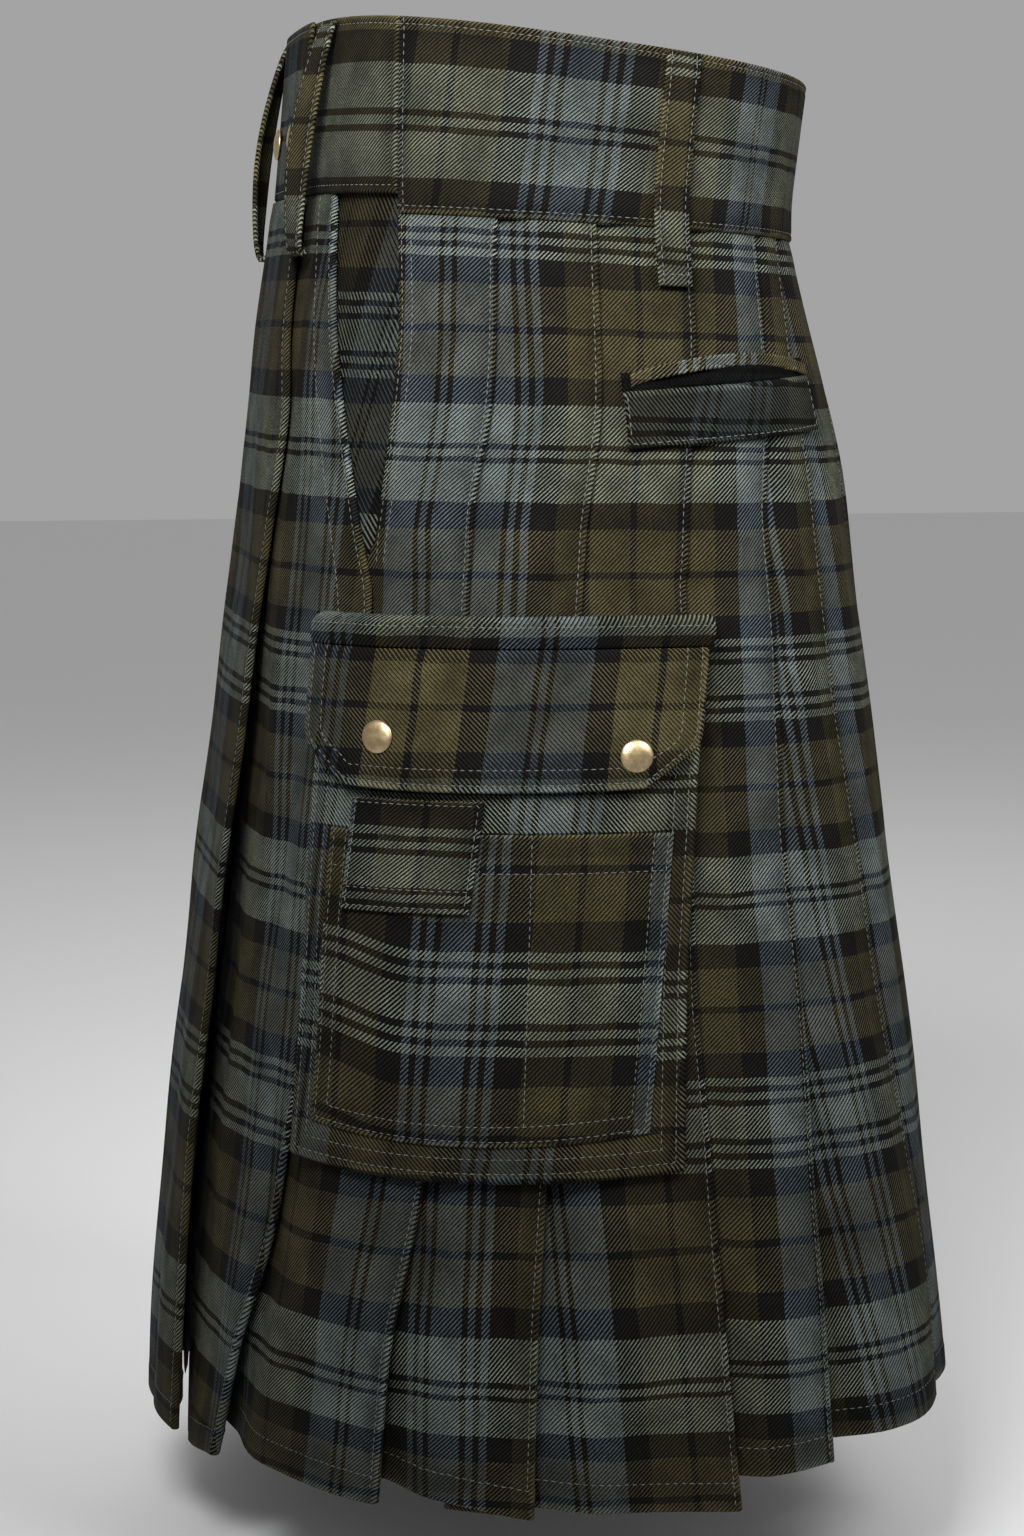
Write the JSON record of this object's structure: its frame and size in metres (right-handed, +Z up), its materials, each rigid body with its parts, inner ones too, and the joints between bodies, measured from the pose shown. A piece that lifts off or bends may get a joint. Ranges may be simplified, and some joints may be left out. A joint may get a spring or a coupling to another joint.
{
  "type": "utility kilt",
  "caption": "Pleated tartan utility kilt on a tall waistband, with flat front apron, belt loops, slanted front pockets and snap-flap cargo pockets, in its worn hollow form.",
  "frame": {"origin": "Middle of the waist opening, halfway up the waistband at the front.", "axes": "+Z up, the garment's front faces -Y, the wearer's left is +X."},
  "size_m": [0.4356, 0.3589, 0.644],
  "materials": {
    "tartan_skirt": "matte yarn-dyed twill, muted olive, slate blue and near-black checks",
    "tartan_band": "matte yarn-dyed twill, the same tartan, pressed flat and topstitched",
    "tartan_pocket": "matte yarn-dyed twill, the same tartan, doubled and topstitched",
    "tartan_facing": "matte yarn-dyed twill, the same tartan, in shade",
    "antique_brass": "aged brass snap caps, satin"
  },
  "bodies": {
    "root": {"apron_front": "tartan_skirt", "apron_under": "tartan_skirt", "band_apron": "tartan_band", "band_front_left": "tartan_band", "band_front_right": "tartan_band", "band_side_left": "tartan_band", "band_side_right": "tartan_band", "cargo_bag_left": "tartan_pocket", "cargo_bag_right": "tartan_pocket", "cargo_flap_band_left": "tartan_pocket", "cargo_flap_band_right": "tartan_pocket", "cargo_flap_left": "tartan_pocket", "cargo_flap_right": "tartan_pocket", "cargo_patch_left": "tartan_pocket", "cargo_patch_right": "tartan_pocket", "cargo_tab_left": "tartan_pocket", "cargo_tab_right": "tartan_pocket", "loop_back": "tartan_band", "loop_front_left": "tartan_band", "loop_front_right": "tartan_band", "loop_side_left": "tartan_band", "loop_side_right": "tartan_band", "panel_back": "tartan_skirt", "panel_front_left": "tartan_skirt", "panel_front_right": "tartan_skirt", "pleat_left_five": "tartan_skirt", "pleat_left_four": "tartan_skirt", "pleat_left_one": "tartan_skirt", "pleat_left_seven": "tartan_skirt", "pleat_left_six": "tartan_skirt", "pleat_left_three": "tartan_skirt", "pleat_left_two": "tartan_skirt", "pleat_right_five": "tartan_skirt", "pleat_right_four": "tartan_skirt", "pleat_right_one": "tartan_skirt", "pleat_right_seven": "tartan_skirt", "pleat_right_six": "tartan_skirt", "pleat_right_three": "tartan_skirt", "pleat_right_two": "tartan_skirt", "slash_facing_left": "tartan_facing", "slash_facing_right": "tartan_facing", "snap_flap_aft_left": "antique_brass", "snap_flap_aft_right": "antique_brass", "snap_flap_fore_left": "antique_brass", "snap_flap_fore_right": "antique_brass", "snap_front_left": "antique_brass", "snap_front_right": "antique_brass", "welt_left": "tartan_facing", "welt_lip_left": "tartan_skirt", "welt_lip_right": "tartan_skirt", "welt_right": "tartan_facing"}
  },
  "joints": []
}
